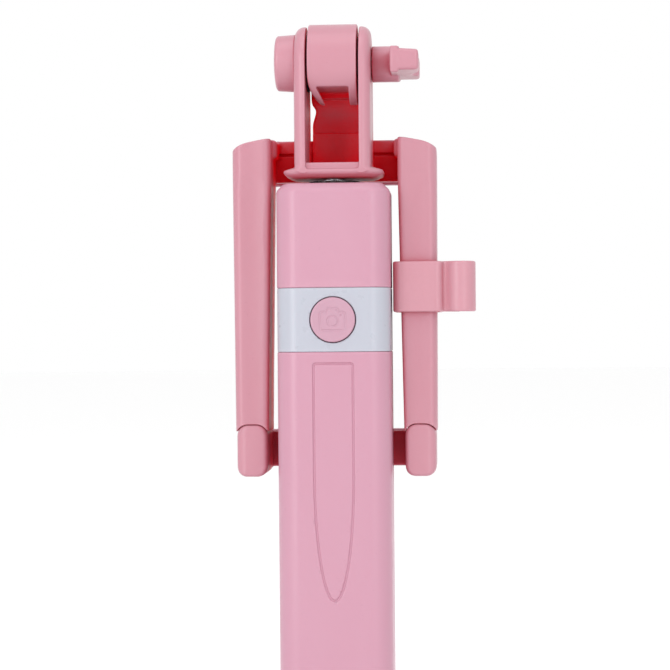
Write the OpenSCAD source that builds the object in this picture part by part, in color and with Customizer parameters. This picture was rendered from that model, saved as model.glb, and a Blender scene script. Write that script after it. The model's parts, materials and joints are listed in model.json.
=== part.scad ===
// Foldable selfie stick. A telescopic steel rod slides out of a rectangular handle with
// a shutter button. The head on top of the rod carries a sprung phone clamp, which folds
// down until its two rails lie beside the handle.
// Z runs up the stick, the button faces -Y and the origin is the middle of the base.

/* [Handle] */
// Width of the handle, side to side
handle_w = 25.1; // [24:0.1:25.3]
// Depth of the handle, front to back
handle_d = 21; // [20.6:0.1:21.2]
// Height of the handle
handle_h = 144.4; // [144.4:0.2:156]
// Radius of the handle's upright corners
handle_corner = 5; // [4:0.1:5.5]
// Wall of the handle shells
shell_wall = 1.5; // [1.2:0.1:1.6]
// Height of the upper shell
upper_shell_h = 23; // [22:0.5:26]
// Height of the band that carries the button
band_h = 14.1; // [13.5:0.1:16]
// Height of the end cap
cap_h = 9; // [9:0.1:10]

/* [Shutter button] */
// Radius of the button
button_r = 4.9; // [4.6:0.1:5.4]
// Travel of the button
button_travel = 0.5; // [0.3:0.05:0.5]

/* [Telescopic rod] */
// Outer radius of the fixed tube
rod_r = 5.4; // [5.4:0.01:5.44]
// Wall of every tube
tube_wall = 0.3; // [0.28:0.01:0.3]
// How much smaller each next tube's radius is
tube_step = 0.6; // [0.59:0.01:0.61]
// Running clearance between a friction bush and its tube
bush_clearance = 0.05; // [0.02:0.01:0.08]

/* [Head] */
// Height of the hinge axis above the handle
hinge_rise = 27; // [27:0.1:29]
// Radius of the hinge barrel
barrel_r = 9; // [8.6:0.1:9.1]
// Width of the hinge barrel
barrel_w = 11; // [10.8:0.02:11.02]
// Thickness of each ear of the yoke
ear_t = 2.55; // [2.2:0.05:2.6]
// Radius of the hinge bolt
bolt_r = 2; // [1.9:0.01:2.02]

/* [Phone clamp] */
// Distance from the middle of the stick to the middle of each rail
rail_x = 18.5; // [18.5:0.1:20]
// Width of a rail at its top
rail_w_top = 8.7; // [8.4:0.1:8.7]
// Width of a rail at its foot
rail_w_foot = 7.4; // [7.2:0.1:7.6]
// Radius of a guide rod
guide_r = 1.5; // [1.3:0.05:1.5]
// Thickness of the soft jaw pads
pad_t = 2.2; // [1.5:0.1:2.6]
// Height of the clip on the right rail
clip_h = 11.2; // [8:0.1:14]
// Inner radius of the hook on the clip
hook_r = 2.2; // [1.8:0.05:2.4]

/* [Hidden] */
$fn = 64;
// A short length that carries a cut cleanly through a face
cut = 1;
// Facets of the children of a hull
hull_fn = 32;

pink = [0.91, 0.62, 0.69];
deep_pink = [0.88, 0.56, 0.63];
white = [0.93, 0.92, 0.95];
steel = [0.72, 0.73, 0.75];
brass = [0.78, 0.65, 0.35];
silicone = [0.80, 0.50, 0.57];
board_green = [0.10, 0.40, 0.25];
dark = [0.15, 0.15, 0.17];

// Handle: the rod's axis is the Z axis, and the handle's middle lies a little in front of it
handle_y = -1;
front_y = handle_y - handle_d / 2;
inner_w = handle_w - 2 * shell_wall;
inner_d = handle_d - 2 * shell_wall;
inner_corner = handle_corner - shell_wall;
inner_front_y = front_y + shell_wall;
band_top = handle_h - upper_shell_h;
band_base = band_top - band_h;
button_z = band_base + band_h / 2;
top_chamfer = 1.6;
top_plate = 2;

// Grip groove in the lower shell: a straight part and a half ellipse below it
groove_half_w = 4.55;
groove_top = band_base - 2.3;
groove_bend = groove_top - 24.3;
groove_tip = groove_bend - 28;
groove_wide = 0.5;
groove_deep = 0.45;

// End cap
strap_eye_r = 1.5;
strap_eye_y = 3;
strap_eye_z = 5;
screw_x = 8.8;
screw_y = -3;
screw_r = 1;
screw_head_r = 1.9;
screw_head_h = 1.4;
screw_tip_z = 15;
usb_w = 7.5;
usb_d = 2.6;
usb_foot = 0.8;
usb_h = 5.6;
board_t = 1;

// Chassis
chassis_gap = 0.1;
chassis_foot = 9.2;
chassis_top = handle_h - 2.2;
cradle_r = 6.5;
tube_foot = 10.4;
rib_t = 1.5;
rib_levels = [12.5, 36, 60, 86.5, 103.5, 123, 138];
tray_w = 15;
tray_y = -6.6;
bay_w = 16.4;
usb_back_y = tray_y - board_t;

// Rod
section_count = 5;
function tube_r(i) = rod_r - tube_step * i;
function tube_bore(i) = tube_r(i) - tube_wall;
function tube_base(i) = tube_foot + 0.8 + 0.4 * i;
tube_top = handle_h - 0.4;
section_top = handle_h + 0.85;
neck_h = 3;
slide_gap = 0.06;
bush_h = 9;
collar_r = 5.9;
collar_foot = handle_h - 2.1;
collar_top = handle_h + 0.8;
tooth_count = 16;
tooth_r = 0.35;

// Yoke
hinge_z = handle_h + hinge_rise;
ear_r = 9;
ear_drop = 0.5;
ear_gap = 11.8;
ear_out = ear_gap / 2 + ear_t;
flange_w = 22.2;
flange_d = 18;
flange_foot = handle_h + 1.3;
flange_wide_z = handle_h + 2.3;
flange_top = handle_h + 3.3;
bridge_top = handle_h + 4.6;
socket_top = bridge_top - 0.6;
cross_pin_r = 0.75;
cross_pin_z = handle_h + 3.1;
cross_pin_front = -3.2;

// Hinge hardware
bolt_hole = bolt_r + 0.08;
bolt_end_x = -12.2;
bolt_head_x = 14.2;
nut_t = 3.2;
nut_r = 4.04;
nut_cap_r = 6.4;
nut_cap_end_r = 5.2;
nut_cap_rise = 0.5;
nut_cap_out = 13.4;
nut_cap_bevel = 1.6;
washer_r = 6;
washer_t = 0.34;
knob_hub_r = 4;
knob_in = ear_out + 0.15;
wing_in = 12.9;
wing_out = 19.1;
wing_len = 9.6;
wing_low = 2.4;
wing_high = 2.5;
cheek_t = 1.8;
cheek_half = 2.9;

// Clamp frame
rail_front = -3;
rail_back = 12.3;
rail_mid_y = (rail_front + rail_back) / 2;
rail_corner = 1.6;
rail_top = hinge_z - 16.3;
rail_taper_z = hinge_z - 25.4;
rail_foot = hinge_z - 81.6;
// How far the rail's foot stands outward, so that only its inner side tapers much
foot_shift = 0.35;
rail_bore = 2.9;
rail_floor = hinge_z - 78;
guide_hole = 2.2;
plug_foot = rail_top - 4.4;
plate_front = 10.3;
jaw_top = hinge_z - 17.4;
jaw_rib_top = jaw_top + 1.5;
jaw_rib_half_w = 14.2;
groove_z = jaw_top - 2.05;
groove_h = 0.65;
groove_in = 6.4;
groove_out = 13.6;
apron_half_w = 5.5;
apron_front = 9.4;
apron_foot = jaw_top - 6.8;
apron_top = hinge_z - 14.3;
shoulder_in = 13.2;
jaw_lip_in = 22;
jaw_lip_out = 24.2;
jaw_half_w = 21.5;
jaw_wall = 2.1;
jaw_depth = 8;
pad_half_w = 19;
lip_pad_t = 1;
// The neck below the hinge, from the front and from the side, measured from the hinge
neck_front = [
  [-5.5, 0], [-5.5, -8], [-4.4, -9.3], [-5.5, -12.4], [-5.5, -19], [5.5, -19], [5.5, 0]
];
neck_side = [
  [4, 0], [8.7, 0.5], [9.6, -5.4], [rail_back, -11.4], [rail_back, -19],
  [plate_front, -19], [9.7, -17.5], [9.7, -14.2], [6.4, -8.6], [5.5, -4.6]
];
// The barrel's lower left cheek, and the pocket that cores out the barrel
barrel_front = [
  [-5.5, 10], [-5.5, -3.6], [-5.2, -5.6], [-4.4, -7.3], [-2.6, -9.1], [5.5, -9.1], [5.5, 10]
];
pocket_front = [
  [-3.6, -5.6], [3.6, -5.6], [3.6, -10.4], [-1.4, -10.4], [-2.2, -8.4], [-3.2, -6.4]
];
pocket_back = 5.5;

// Moving jaw, at rest
block_half_w = 3.7;
block_top = hinge_z - 80.4;
block_foot = hinge_z - 91.9;
block_round = 2.8;
block_foot_r = 2.6;
block_gap = 0.25;
bar_foot = block_foot + 1.5;
rod_foot = block_foot + 3;
rod_top = rail_top - 5.2;
stop_r = 2.7;
stop_t = 1.4;
spring_foot = rail_floor + 1;
spring_top = rod_top - 0.6 - stop_t;
spring_r = 2.25;
wire_r = 0.28;
spring_turns = 14;
rings_per_turn = 10;
wire_sides = 6;

// Clip on the right rail
clip_top = hinge_z - 44.2;
clip_foot = clip_top - clip_h;
clip_in = rail_x - 5.55;
clip_out = rail_x + 5.5;
clip_pocket_in = 4.25;
clip_pocket_out = 4.5;
clip_front = rail_front - 1.3;
clip_back = rail_back + 1.1;
clip_gap = 0.15;
clip_mouth = 1.7;
hook_wall = 1.2;
hook_x = clip_out + hook_r + hook_wall + 0.5;
hook_y = clip_front + hook_r + hook_wall;

// ---- Shapes that repeat ----

// Rectangle with round corners, centred
module rounded_rect(w, d, r) {
  square([w - 2 * r, d], center = true);
  square([w, d - 2 * r], center = true);
  for (sx = [-1, 1], sy = [-1, 1])
    translate([sx * (w / 2 - r), sy * (d / 2 - r)])
      circle(r);
}

// Upright block with round corners, centred on the handle's middle
module handle_slab(w, d, r, z0, z1) {
  translate([0, handle_y, z0])
    linear_extrude(z1 - z0)
      rounded_rect(w, d, r);
}

module handle_section(z0, z1) {
  handle_slab(handle_w, handle_d, handle_corner, z0, z1);
}

module handle_hollow(z0, z1) {
  handle_slab(inner_w, inner_d, inner_corner, z0, z1);
}

// Box from its lowest corner to its highest
module box(low, high) {
  translate(low)
    cube(high - low);
}

// Round bar along X at the hinge's height
module hinge_bar(r, x0, x1, sides = $fn) {
  translate([x0, 0, hinge_z])
    rotate([0, 90, 0])
      cylinder(h = x1 - x0, r = r, $fn = sides);
}

// Round bar along Y
module bar_y(r, x, z, y0, y1) {
  translate([x, y0, z])
    rotate([-90, 0, 0])
      cylinder(h = y1 - y0, r = r);
}

// Upright round bar
module bar_z(r, x, y, z0, z1) {
  translate([x, y, z0])
    cylinder(h = z1 - z0, r = r);
}

// An outline drawn in X and Z, given a depth from y0 to y1
module front_outline(y0, y1) {
  translate([0, y1, 0])
    rotate([90, 0, 0])
      linear_extrude(y1 - y0)
        children();
}

// Draws its children on both sides of the stick
module both_sides() {
  children();
  mirror([1, 0, 0])
    children();
}

// ---- Handle ----

// Groove outline: the straight part, then a half ellipse down to the tip
module grip_outline(inset) {
  half_w = groove_half_w - inset;
  drop = groove_bend - groove_tip - inset;
  arc = [for (a = [0:6:180]) [half_w * cos(a), groove_bend - drop * sin(a)]];
  polygon(concat(arc, [[-half_w, groove_top - inset], [half_w, groove_top - inset]]));
}

module lower_shell() {
  color(pink)
    difference() {
      handle_section(cap_h, band_base);
      handle_hollow(cap_h - cut, band_base + cut);
      front_outline(front_y - cut, front_y + groove_deep)
        difference() {
          grip_outline(0);
          grip_outline(groove_wide);
        }
    }
}

module button_band() {
  color(white)
    difference() {
      handle_section(band_base, band_top);
      handle_hollow(band_base - cut, band_top + cut);
      bar_y(button_r + 0.2, 0, button_z, front_y - cut, front_y + shell_wall + cut);
    }
}

module upper_shell() {
  color(pink)
    difference() {
      union() {
        handle_section(band_top, handle_h - top_chamfer);
        hull($fn = hull_fn) {
          handle_section(handle_h - top_chamfer - 0.01, handle_h - top_chamfer);
          handle_slab(handle_w - 2 * top_chamfer, handle_d - 2 * top_chamfer,
                      handle_corner - top_chamfer, handle_h - 0.01, handle_h);
        }
      }
      handle_hollow(band_top - cut, handle_h - top_plate);
      bar_z(collar_r + 0.05, 0, 0, handle_h - top_plate - cut, handle_h + cut);
    }
}

module end_cap() {
  color(pink)
    difference() {
      handle_section(0, cap_h);
      // charging socket: its mouth and the room behind it
      box([-usb_w / 2, usb_back_y - usb_d, -cut], [usb_w / 2, usb_back_y, cap_h]);
      box([-bay_w / 2, usb_back_y - usb_d, usb_foot], [bay_w / 2, usb_back_y + 1.2, cap_h + cut]);
      // eye for a wrist strap
      translate([-handle_w / 2 - cut, strap_eye_y, strap_eye_z])
        rotate([0, 90, 0])
          cylinder(h = handle_w + 2 * cut, r = strap_eye_r);
      for (side = [-1, 1]) {
        bar_z(screw_r, side * screw_x, screw_y, -cut, cap_h + cut);
        bar_z(screw_head_r, side * screw_x, screw_y, -cut, screw_head_h + 0.3);
      }
    }
}

module end_cap_screws() {
  color(steel)
    for (side = [-1, 1])
      difference() {
        union() {
          bar_z(screw_r, side * screw_x, screw_y, 0.3, screw_tip_z);
          bar_z(screw_head_r, side * screw_x, screw_y, 0.3, 0.3 + screw_head_h);
        }
        for (turn = [0, 90])
          translate([side * screw_x, screw_y, 0])
            rotate([0, 0, turn])
              box([-1.2, -0.2, -cut], [1.2, 0.2, 1]);
      }
}

module chassis() {
  color(dark)
    difference() {
      union() {
        bar_z(cradle_r, 0, 0, chassis_foot, chassis_top);
        box([-tray_w / 2, tray_y, 24], [tray_w / 2, tray_y + 2, 136]);
        for (z = rib_levels)
          handle_slab(inner_w - 2 * chassis_gap, inner_d - 2 * chassis_gap,
                      inner_corner - chassis_gap, z, z + rib_t);
        for (side = [-1, 1])
          bar_z(2, side * screw_x, screw_y, chassis_foot, screw_tip_z + 1);
      }
      // the bay in front, for the boards and the battery
      box([-bay_w / 2, inner_front_y - cut, chassis_foot - cut], [bay_w / 2, tray_y, chassis_top + cut]);
      bar_z(rod_r, 0, 0, tube_foot, chassis_top + cut);
      for (side = [-1, 1])
        bar_z(screw_r, side * screw_x, screw_y, chassis_foot - cut, screw_tip_z);
    }
}

module main_board() {
  color(board_green)
    union() {
      box([-7.2, tray_y - board_t, 98], [7.2, tray_y, 134]);
      // radio chip and crystal
      box([-3, tray_y - board_t - 1, 124], [3, tray_y - board_t, 130]);
      box([3.8, tray_y - board_t - 0.8, 121], [6.4, tray_y - board_t, 123]);
    }
}

module shutter_switch() {
  color(steel)
    difference() {
      box([-3, tray_y - board_t - 1, button_z - 3], [3, tray_y - board_t, button_z + 3]);
      bar_y(1.45, 0, button_z, tray_y - board_t - 1 - cut, tray_y - board_t - 0.15);
    }
}

module battery() {
  color(steel)
    box([-6.5, tray_y - 3.2, 40], [6.5, tray_y, 85]);
}

module charge_board() {
  color(board_green)
    box([-6.5, usb_back_y, 3], [6.5, usb_back_y + board_t, 22]);
}

module charge_socket() {
  color(steel)
    union() {
      difference() {
        box([-usb_w / 2, usb_back_y - usb_d, usb_foot], [usb_w / 2, usb_back_y, usb_foot + usb_h]);
        box([-usb_w / 2 + 0.3, usb_back_y - usb_d + 0.3, usb_foot - cut],
            [usb_w / 2 - 0.3, usb_back_y - 0.3, usb_foot + usb_h - 0.6]);
      }
      box([-2.6, usb_back_y - usb_d + 0.9, usb_foot + 0.5],
          [2.6, usb_back_y - usb_d + 1.5, usb_foot + usb_h - 0.6]);
    }
}

module leads() {
  color(dark)
    for (side = [-1, 1]) {
      bar_z(0.45, side * 1.4, tray_y - board_t - 0.5, 85, 101);
      bar_z(0.45, side * 1.4, tray_y - board_t - 0.5, 19, 40);
    }
}

// Generic camera pictogram: a round-cornered body outline, a hump and a lens ring
module camera_outline(grow) {
  translate([0, -0.35])
    rounded_rect(5.4 + 2 * grow, 4.2 + 2 * grow, 0.8 + grow);
  polygon([[-1.5 - grow, 1.6], [-1 - grow, 2.6 + grow], [1 + grow, 2.6 + grow], [1.5 + grow, 1.6]]);
}

module shutter_button() {
  face_y = front_y - button_travel;
  color(deep_pink)
    difference() {
      union() {
        bar_y(button_r, 0, button_z, face_y, inner_front_y);
        bar_y(button_r + 0.9, 0, button_z, inner_front_y + 0.05, inner_front_y + 0.75);
        bar_y(button_r, 0, button_z, inner_front_y - 0.1, inner_front_y + 0.1);
      }
      translate([0, 0, button_z])
        front_outline(face_y - cut, face_y + 0.2) {
          difference() {
            camera_outline(0);
            camera_outline(-0.35);
          }
          translate([0, -0.35])
            difference() {
              circle(1.35);
              circle(1);
            }
        }
    }
}

module switch_stem() {
  color(dark)
    bar_y(1.4, 0, button_z, inner_front_y + 0.75, tray_y - board_t - 0.7);
}

// ---- Telescopic rod ----

module outer_tube() {
  color(steel)
    difference() {
      bar_z(tube_r(0), 0, 0, tube_foot, tube_top);
      bar_z(tube_bore(0), 0, 0, tube_foot - cut, tube_top + cut);
    }
}

// Knurled collar that ends the fixed tube and keeps the first section in
module rod_collar() {
  color(steel)
    difference() {
      union() {
        bar_z(collar_r, 0, 0, collar_foot, collar_top);
        for (i = [0:tooth_count - 1])
          rotate([0, 0, (i + 0.5) * 360 / tooth_count])
            bar_z(tooth_r, collar_r, 0, handle_h + 0.05, collar_top);
      }
      bar_z(rod_r, 0, 0, collar_foot - cut, tube_top);
      bar_z(tube_r(1) + slide_gap, 0, 0, tube_top - cut, collar_top + cut);
    }
}

// Sliding tube, necked in at its top to hold the next one
module sliding_tube(i) {
  top = section_top + 0.05 * i;
  color(steel)
    difference() {
      bar_z(tube_r(i), 0, 0, tube_base(i), top);
      bar_z(tube_bore(i), 0, 0, tube_base(i) - cut, top - neck_h);
      bar_z(tube_r(i + 1) + slide_gap, 0, 0, top - neck_h - cut, top + cut);
    }
}

module last_tube() {
  color(steel)
    difference() {
      bar_z(tube_r(section_count), 0, 0, tube_base(section_count), socket_top);
      bar_z(tube_bore(section_count), 0, 0, tube_base(section_count) - cut, socket_top + cut);
      bar_y(cross_pin_r, 0, cross_pin_z, -ear_r, ear_r);
    }
}

module friction_bush(i) {
  color(brass)
    difference() {
      bar_z(tube_bore(i - 1) - bush_clearance, 0, 0, tube_base(i), tube_base(i) + bush_h);
      bar_z(tube_r(i), 0, 0, tube_base(i) - cut, tube_base(i) + bush_h + cut);
    }
}

module head_insert() {
  color(brass)
    difference() {
      bar_z(tube_bore(section_count), 0, 0, socket_top - 10, socket_top);
      bar_y(cross_pin_r, 0, cross_pin_z, -ear_r, ear_r);
    }
}

module head_pin() {
  color(steel)
    bar_y(cross_pin_r, 0, cross_pin_z, cross_pin_front, flange_d / 2 - 0.3);
}

// ---- Head ----

module yoke() {
  color(pink)
    difference() {
      union() {
        // dished flange
        translate([0, 0, flange_wide_z])
          linear_extrude(flange_top - flange_wide_z)
            rounded_rect(flange_w, flange_d, handle_corner);
        hull($fn = hull_fn) {
          translate([0, 0, flange_wide_z - 0.01])
            linear_extrude(0.01)
              rounded_rect(flange_w, flange_d, handle_corner);
          translate([0, 0, flange_foot])
            linear_extrude(0.01)
              rounded_rect(flange_w - 7, flange_d - 6, handle_corner - 2);
        }
        box([-ear_gap / 2 - cut, -ear_r, flange_top - cut], [ear_gap / 2 + cut, ear_r, bridge_top]);
        both_sides() {
          translate([0, 0, -ear_drop])
            hinge_bar(ear_r, ear_gap / 2, ear_out);
          box([ear_gap / 2, -ear_r, flange_top - cut], [ear_out, ear_r, hinge_z - ear_drop]);
        }
      }
      hinge_bar(bolt_hole, -ear_out - cut, ear_out + cut);
      bar_z(tube_r(section_count), 0, 0, flange_foot - cut, socket_top);
      bar_y(cross_pin_r, 0, cross_pin_z, cross_pin_front, ear_r + cut);
    }
}

module nut_cap() {
  color(pink)
    difference() {
      union() {
        translate([0, 0, nut_cap_rise])
          hinge_bar(nut_cap_r, -nut_cap_out + nut_cap_bevel, -ear_out);
        translate([-nut_cap_out, 0, hinge_z + nut_cap_rise])
          rotate([0, 90, 0])
            cylinder(h = nut_cap_bevel, r1 = nut_cap_end_r, r2 = nut_cap_r);
      }
      hinge_bar(nut_r, -ear_out - nut_t, -ear_out + cut, 6);
      hinge_bar(bolt_hole, bolt_end_x - 0.3, -ear_out);
    }
}

module hinge_nut() {
  color(brass)
    difference() {
      hinge_bar(nut_r, -ear_out - nut_t, -ear_out, 6);
      hinge_bar(bolt_r + 0.05, -ear_out - nut_t - cut, -ear_out + cut);
    }
}

module hinge_washers() {
  color(dark)
    both_sides()
      difference() {
        hinge_bar(washer_r, ear_gap / 2 - 0.03 - washer_t, ear_gap / 2 - 0.03);
        hinge_bar(bolt_hole, 0, ear_gap);
      }
}

// Thumb knob: a hub, a cheek plate and a two-winged bar
module hinge_knob() {
  color(pink)
    difference() {
      union() {
        hinge_bar(knob_hub_r, knob_in, wing_in + cheek_t);
        intersection() {
          union() {
            box([wing_in, -wing_len, hinge_z - wing_low], [wing_out, wing_len, hinge_z + wing_high]);
            box([wing_in, -wing_len, hinge_z - cheek_half],
                [wing_in + cheek_t, wing_len, hinge_z + cheek_half]);
          }
          hinge_bar(wing_len, wing_in - cut, wing_out + cut);
        }
      }
      hinge_bar(bolt_r, knob_in - cut, bolt_head_x);
    }
}

module hinge_bolt() {
  color(steel)
    hinge_bar(bolt_r, bolt_end_x, bolt_head_x);
}

// ---- Phone clamp ----

// Outline of one rail, about its own middle: straight at the top, then tapering to the foot
module rail_outline() {
  polygon([
    [-rail_w_top / 2, rail_top], [0, rail_top - 0.3], [3, rail_top - 1.3],
    [rail_w_top / 2, rail_top - 3], [rail_w_top / 2, rail_taper_z],
    [foot_shift + rail_w_foot / 2, rail_foot], [foot_shift - rail_w_foot / 2, rail_foot],
    [-rail_w_top / 2, rail_taper_z]
  ]);
}

// One end block of the moving jaw, with round corners at the top and at the foot
module block_outline(grow = 0) {
  half_w = block_half_w + grow;
  top_r = block_round + grow;
  translate([foot_shift, 0]) {
    for (side = [-1, 1]) {
      translate([side * (half_w - top_r), block_top + grow - top_r])
        circle(top_r);
      translate([side * (half_w - block_foot_r), block_foot - grow + block_foot_r])
        circle(block_foot_r);
    }
    translate([-half_w, block_foot - grow + block_foot_r])
      square([2 * half_w, block_top + grow - top_r - block_foot + grow - block_foot_r]);
    translate([-half_w + top_r, block_top + grow - top_r])
      square([2 * (half_w - top_r), top_r]);
    translate([-half_w + block_foot_r, block_foot - grow])
      square([2 * (half_w - block_foot_r), block_foot_r]);
  }
}

// Rounds the upright corners of what it cuts down to
module rail_column() {
  translate([0, rail_mid_y, block_foot - cut])
    linear_extrude(rail_top - block_foot + 2 * cut)
      rounded_rect(rail_w_top, rail_back - rail_front, rail_corner);
}

module rail_body() {
  intersection() {
    front_outline(rail_front, rail_back)
      rail_outline();
    rail_column();
  }
}

// Channel of a jaw, seen from the side: plate, wall and lip; dir is 1 when it opens upwards
module jaw_channel(wall_z, dir, plate_half_w) {
  z1 = wall_z + dir * jaw_wall;
  z2 = wall_z + dir * jaw_depth;
  box([-plate_half_w, plate_front, min(wall_z, z2)], [plate_half_w, rail_back, max(wall_z, z2)]);
  box([-jaw_half_w, plate_front, min(wall_z, z1)], [jaw_half_w, jaw_lip_out, max(wall_z, z1)]);
  box([-jaw_half_w, jaw_lip_in, min(wall_z, z2)], [jaw_half_w, jaw_lip_out, max(wall_z, z2)]);
}

// Soft lining of a jaw: a thick strip on the wall and a thin one on the lip
module jaw_lining(wall_z, dir) {
  z0 = wall_z + dir * jaw_wall;
  z1 = z0 + dir * pad_t;
  z2 = wall_z + dir * (jaw_depth - 0.6);
  box([-pad_half_w, rail_back + 0.1, min(z0, z1)], [pad_half_w, jaw_lip_in, max(z0, z1)]);
  box([-pad_half_w, jaw_lip_in - lip_pad_t, min(z0, z2)], [pad_half_w, jaw_lip_in, max(z0, z2)]);
}

module clamp_frame() {
  color(pink)
    difference() {
      union() {
        intersection() {
          hinge_bar(barrel_r, -barrel_w / 2, barrel_w / 2);
          translate([0, 0, hinge_z])
            front_outline(-barrel_r - cut, barrel_r + cut)
              polygon(barrel_front);
        }
        // neck, from the back of the barrel down to the fixed jaw
        intersection() {
          translate([0, 0, hinge_z])
            front_outline(0, rail_back)
              polygon(neck_front);
          translate([-jaw_half_w, 0, hinge_z])
            rotate([90, 0, 90])
              linear_extrude(2 * jaw_half_w)
                polygon(neck_side);
        }
        // apron in front of the plate, and the raised edge of the plate
        box([-apron_half_w, apron_front, apron_foot], [apron_half_w, plate_front + 0.5, apron_top]);
        jaw_channel(jaw_top, -1, rail_x);
        box([-jaw_rib_half_w, plate_front, jaw_top - cut], [jaw_rib_half_w, rail_back, jaw_rib_top]);
        both_sides() {
          translate([rail_x, 0, 0])
            rail_body();
          // shoulder between the rail's top and the jaw
          box([shoulder_in, 2, rail_top - 4], [rail_x - 3, rail_back - 0.5, rail_top - 0.3]);
        }
      }
      // pocket in the barrel, open in front and below
      translate([0, 0, hinge_z])
        front_outline(-barrel_r - cut, pocket_back)
          polygon(pocket_front);
      hinge_bar(bolt_hole, -barrel_w / 2 - cut, barrel_w / 2 + cut);
      both_sides()
        translate([rail_x, 0, 0]) {
          bar_z(rail_bore, 0, rail_mid_y, rail_floor, rail_top + cut);
          bar_z(guide_hole, 0, rail_mid_y, rail_foot - cut, rail_floor + cut);
          front_outline(rail_front - cut, rail_back + cut)
            block_outline(block_gap);
        }
      // groove that parts the edge of the jaw from the plate below it
      both_sides()
        box([groove_in, plate_front - cut, groove_z], [groove_out, plate_front + 0.6, groove_z + groove_h]);
    }
}

module fixed_pad() {
  color(silicone)
    jaw_lining(jaw_top, -1);
}

module moving_pad() {
  color(silicone)
    jaw_lining(bar_foot, 1);
}

module rod_guides() {
  color(dark)
    both_sides()
      translate([rail_x, 0, 0])
        difference() {
          union() {
            bar_z(guide_hole, 0, rail_mid_y, block_top + 0.6, rail_floor);
            bar_z(rail_bore - 0.05, 0, rail_mid_y, rail_floor, rail_floor + 0.9);
          }
          bar_z(guide_r + 0.05, 0, rail_mid_y, block_top, rail_floor + 2);
        }
}

module rail_plugs() {
  color(pink)
    both_sides()
      translate([rail_x, 0, 0])
        intersection() {
          bar_z(rail_bore, 0, rail_mid_y, plug_foot, rail_top + cut);
          rail_body();
        }
}

module moving_jaw() {
  color(pink)
    difference() {
      union() {
        jaw_channel(bar_foot, 1, rail_x);
        both_sides()
          translate([rail_x, 0, 0])
            intersection() {
              front_outline(rail_front, rail_back)
                block_outline();
              rail_column();
            }
      }
      both_sides()
        bar_z(guide_r, rail_x, rail_mid_y, rod_foot, block_top + cut);
    }
}

module guide_rods() {
  color(steel)
    both_sides()
      bar_z(guide_r, rail_x, rail_mid_y, rod_foot, rod_top);
}

module rod_stops() {
  color(steel)
    both_sides()
      difference() {
        bar_z(stop_r, rail_x, rail_mid_y, spring_top, spring_top + stop_t);
        bar_z(guide_r, rail_x, rail_mid_y, spring_top - cut, spring_top + stop_t + cut);
      }
}

// Return spring: a wire of wire_sides flats swept along a helix
module return_spring(x) {
  rings = spring_turns * rings_per_turn;
  length = spring_top - spring_foot - 2 * wire_r - 0.1;
  points = [
    for (i = [0:rings], s = [0:wire_sides - 1])
      let (a = 360 * i / rings_per_turn, b = 360 * s / wire_sides, r = spring_r + wire_r * cos(b))
        [r * cos(a), r * sin(a), length * i / rings + wire_r * sin(b)]
  ];
  sides = [
    for (i = [0:rings - 1], s = [0:wire_sides - 1], half = [0, 1])
      let (t = (s + 1) % wire_sides, low = i * wire_sides, high = low + wire_sides)
        half == 0 ? [low + s, low + t, high + t] : [low + s, high + t, high + s]
  ];
  ends = [
    [for (s = [wire_sides - 1:-1:0]) s],
    [for (s = [0:wire_sides - 1]) rings * wire_sides + s]
  ];
  color(steel)
    translate([x, rail_mid_y, spring_foot + wire_r + 0.05])
      polyhedron(points = points, faces = concat(sides, ends));
}

// Clip that slides on the right rail, with an open hook on its outer side
module rail_clip() {
  color(deep_pink)
    difference() {
      union() {
        box([clip_in, clip_front, clip_foot], [clip_out, clip_back, clip_top]);
        bar_z(hook_r + hook_wall, hook_x, hook_y, clip_foot, clip_top);
        box([clip_out - cut, hook_y - 1.7, clip_foot], [hook_x - hook_r - 0.3, hook_y + 1.7, clip_top]);
      }
      box([rail_x - clip_pocket_in, rail_front - clip_gap, clip_foot - cut],
          [rail_x + clip_pocket_out, rail_back + clip_gap, clip_top + cut]);
      box([rail_x - clip_mouth, rail_back - cut, clip_foot - cut],
          [rail_x + clip_mouth, clip_back + cut, clip_top + cut]);
      bar_z(hook_r, hook_x, hook_y, clip_foot - cut, clip_top + cut);
      box([hook_x, hook_y + 0.6, clip_foot - cut], [hook_x + 5, hook_y + 5, clip_top + cut]);
    }
}

end_cap();
lower_shell();
button_band();
upper_shell();
chassis();
end_cap_screws();
outer_tube();
rod_collar();
main_board();
shutter_switch();
battery();
charge_board();
charge_socket();
leads();
shutter_button();
switch_stem();
sliding_tube(1);  // tube_1
sliding_tube(2);  // tube_2
sliding_tube(3);  // tube_3
sliding_tube(4);  // tube_4
last_tube();  // tube_5
friction_bush(1);  // bush_1
friction_bush(2);  // bush_2
friction_bush(3);  // bush_3
friction_bush(4);  // bush_4
friction_bush(5);  // bush_5
head_insert();
head_pin();
yoke();
nut_cap();
hinge_nut();
hinge_washers();
hinge_knob();
hinge_bolt();
clamp_frame();
fixed_pad();
rod_guides();
rail_plugs();
return_spring(-rail_x);  // left_spring
return_spring(rail_x);  // right_spring
moving_jaw();
moving_pad();
guide_rods();
rod_stops();
rail_clip();
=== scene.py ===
"""Looks for the selfie stick: moulded pink shells, white band, steel rod and the folded phone clamp."""

import json
import math

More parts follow.
